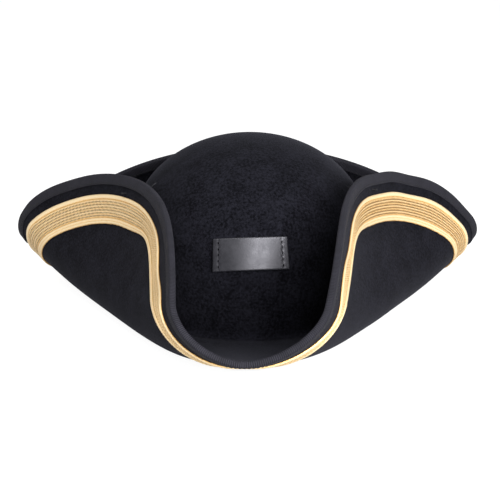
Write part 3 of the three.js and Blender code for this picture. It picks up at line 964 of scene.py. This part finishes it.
def add_sweatband(look):
    back = -HALF_FELT - GAP
    face = -BAND_FACE
    section = [(0, back), (-8, back), (-16, back), (-24, back), (-BAND_HEIGHT, back)]
    section += [(-BAND_HEIGHT - 0.2, (back + face) / 2), (-BAND_HEIGHT + 0.3, face - 0.15)]
    section += [(-BAND_HEIGHT + 1.6, face - 0.25), (-BAND_HEIGHT + 2.6, face + 0.05)]
    section += [(a, face) for a in (-24, -16, -8, -3.4)]
    section += [(-2.5, face + 0.25), (-1.6, face), (0, face + 0.1), (0.2, (back + face) / 2)]
    obj, length = band_object("sweatband_cloth", section, SWEATBAND_STATIONS)
    finish_piece(obj, look, "sweatband", "sweatband")


def add_sweatband_seam(look):
    place, count = ring_place(-2.5, -BAND_FACE - 0.25, 2.6, zigzag=0.9)
    obj = stitches_object("sweatband_stitches", place, count, 0.96, 0.22)
    finish_piece(obj, look, "thread", "sweatband_seam")


LABEL_START = 135.0
LABEL_END = 155.0
LABEL_BOTTOM = 14.0
LABEL_HEIGHT = 14.0
LABEL_STATIONS = 41
LABEL_THICKNESS = 0.4
HEM = 1.5


def add_label(look):
    station = np.linspace(LABEL_START, LABEL_END, LABEL_STATIONS)
    inset = np.array([0, 0.15])
    middle = np.linspace(0.6, LABEL_HEIGHT - 0.6, 15)
    height = LABEL_BOTTOM + np.concatenate([inset, middle, LABEL_HEIGHT - inset[::-1]])
    s, h = np.meshgrid(station, height, indexing="ij")
    back = -BAND_FACE - GAP
    across = (s - LABEL_START) / (LABEL_END - LABEL_START)
    puff = 0.18 * np.sin(np.pi * across) * np.sin(np.pi * (h - LABEL_BOTTOM) / LABEL_HEIGHT)
    hem = 0.16 * ((s < LABEL_START + HEM) | (s > LABEL_END - HEM))
    front = back - LABEL_THICKNESS - puff - hem
    face = surface_point(s, crown_along(h), front)
    rear = surface_point(s, crown_along(h), np.full(s.shape, back))
    points = np.concatenate([face, rear[:, ::-1]], 1)
    u = np.linspace(0, 26, LABEL_STATIONS)
    v = np.concatenate([height, height[::-1] + LABEL_HEIGHT, height[:1] + 2 * LABEL_HEIGHT])
    obj = grid_object("label", points, False, True, u, v, caps=True)
    finish_piece(obj, look, "label", "size_label")
    middle_height = crown_along(LABEL_BOTTOM + LABEL_HEIGHT / 2)
    line = surface_point(np.array([LABEL_START, LABEL_END]), middle_height, np.full(2, back))


add_sweatband(cotton_look())
add_sweatband_seam(black_thread)
add_label(label_look())


def ribbon_strip(line, direction, widths, thickness):
    """A closed strip along a line, as wide in the given direction as widths says."""
    line = np.asarray(line, float)
    forward = np.gradient(line, axis=0)
    face = np.cross(forward, direction)
    face /= np.linalg.norm(face, axis=1, keepdims=True)
    across = np.asarray(direction, float)[None] * np.asarray(widths)[:, None] / 2
    lift = face * thickness / 2
    corners = [lift - across, lift + across, across - lift, -across - lift]
    return np.stack([line + corner for corner in corners], 1)


BOW_REACH = 12.6
BOW_KNOT_HEIGHT = 6.9
TAIL_REACH = 6.0
RIBBON_THICKNESS = 0.35


def add_bow(look):
    low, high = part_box("rear_bow")
    centre = np.array([(low.x + high.x) / 2, (low.y + high.y) / 2, 0]) / MM - AXIS
    centre[2] = low.z / MM - AXIS[2] + BOW_KNOT_HEIGHT
    pieces = []
    t = np.linspace(0, 1, 25)
    for side in (-1, 1):
        x = side * BOW_REACH * np.sin(np.pi * t) ** 0.8
        y = -1.15 * np.sin(2 * np.pi * t)
        z = 0.9 * np.sin(np.pi * t) ** 2
        width = 3.2 + 4.6 * np.sin(np.pi * t)
        line = np.stack([x, y, z], 1) + centre
        pieces.append(ribbon_strip(line, [0, 0, 1], width, RIBBON_THICKNESS))
        x = side * (0.6 + TAIL_REACH * t)
        y = -0.5 - 0.8 * np.sin(np.pi * t)
        z = -1.0 - 5.0 * t ** 1.2
        line = np.stack([x, y, z], 1) + centre
        slant = [0.75, 0, side * 0.66]
        pieces.append(ribbon_strip(line, slant, 2.4 + 3.0 * t, RIBBON_THICKNESS))
    angle = np.linspace(0, 2 * np.pi, 17)
    knot = np.stack([2.0 * np.cos(angle), -1.55 * np.sin(angle), 0 * angle], 1) + centre
    pieces.append(ribbon_strip(knot, [0, 0, 1], np.full(17, 4.2), 0.4))
    points, faces, ends, start = [], [], [], 0
    for piece in pieces:
        r, c = quads(len(piece), 4, False, True)
        faces.append(start + r * 4 + c % 4)
        ends += end_faces(start, len(piece), 4)
        points.append(piece.reshape(-1, 3))
        start += len(piece) * 4
    faces = [np.concatenate(faces), *ends]
    points = np.concatenate(points)
    uv = [points[f][..., [0, 2]] for f in faces]
    obj = new_object("bow", points, faces, uv)
    finish_piece(obj, look, "grosgrain", "rear_bow")


add_bow(grosgrain)

# ---------- tack threads


def trefoil(centre, size):
    t = np.linspace(0, 2 * np.pi, 49)
    x = np.sin(t) + 2 * np.sin(2 * t)
    y = np.cos(t) - 2 * np.cos(2 * t)
    z = -np.sin(3 * t)
    return np.stack([x, y * 0.9, z], 1) * size / 3 + centre


def twisted(start, end, offset, pitch):
    run = np.linalg.norm(end - start)
    forward = (end - start) / run
    side = np.cross(forward, [0, 0, 1.0])
    side /= np.linalg.norm(side)
    up = np.cross(side, forward)
    t = np.linspace(0, run, int(run / pitch * 8) + 2)
    for phase in (0, np.pi):
        angle = 2 * np.pi * t / pitch + phase
        yield (
            start + forward * t[:, None]
            + offset * (np.cos(angle)[:, None] * side + np.sin(angle)[:, None] * up)
        )


TACKS = {"tack_thread_left": -66, "tack_thread_right": 66, "tack_thread_rear": 180}
KNOT_SIZE = 1.2
KNOT_INSET = 1.6
PLY_OFFSET = 0.24
PLY_RADIUS = 0.27
TWIST_PITCH = 2.2
# The left thread also lies as one short stitch on the crown: station and heights.
TOP_STITCH = (-70.0, 99.0, 104.5)
TOP_STITCH_RADIUS = 0.3


def add_tacks(look, pale_look):
    for node, azimuth in TACKS.items():
        low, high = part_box(node)
        corner_low = np.array(low) / MM - AXIS + KNOT_INSET
        corner_high = np.array(high) / MM - AXIS - KNOT_INSET
        turn = math.radians(azimuth)
        direction = np.array([math.sin(turn), -math.cos(turn), 0])
        outer = np.where(direction > 1e-6, corner_high, corner_low)
        inner = np.where(direction > 1e-6, corner_low, corner_high)
        outer[2] = inner[2] = (corner_low[2] + corner_high[2]) / 2
        if abs(direction[0]) < 1e-6:
            outer[0] = inner[0] = (corner_low[0] + corner_high[0]) / 2
        lines = list(twisted(inner, outer, PLY_OFFSET, TWIST_PITCH))
        lines += [trefoil(inner, KNOT_SIZE), trefoil(outer, KNOT_SIZE)]
        if azimuth == TACKS["tack_thread_left"]:
            station, low_end, high_end = TOP_STITCH
            height = np.linspace(low_end, high_end, 9)
            lift = HALF_FELT - 0.3 + 0.7 * np.sin(np.linspace(0, np.pi, 9))
            line = surface_point(station + np.linspace(0, 2, 9), crown_along(height), lift)
            stitch = tube_object("tack_stitch", [line], TOP_STITCH_RADIUS)
            finish_piece(stitch, pale_look, "thread", node)
        obj = tube_object(node.replace("thread", "cord"), lines, PLY_RADIUS)
        finish_piece(obj, look, "thread", node)


add_tacks(black_thread, thread_look("tack_thread", rgb(0.045, 0.045, 0.052)))
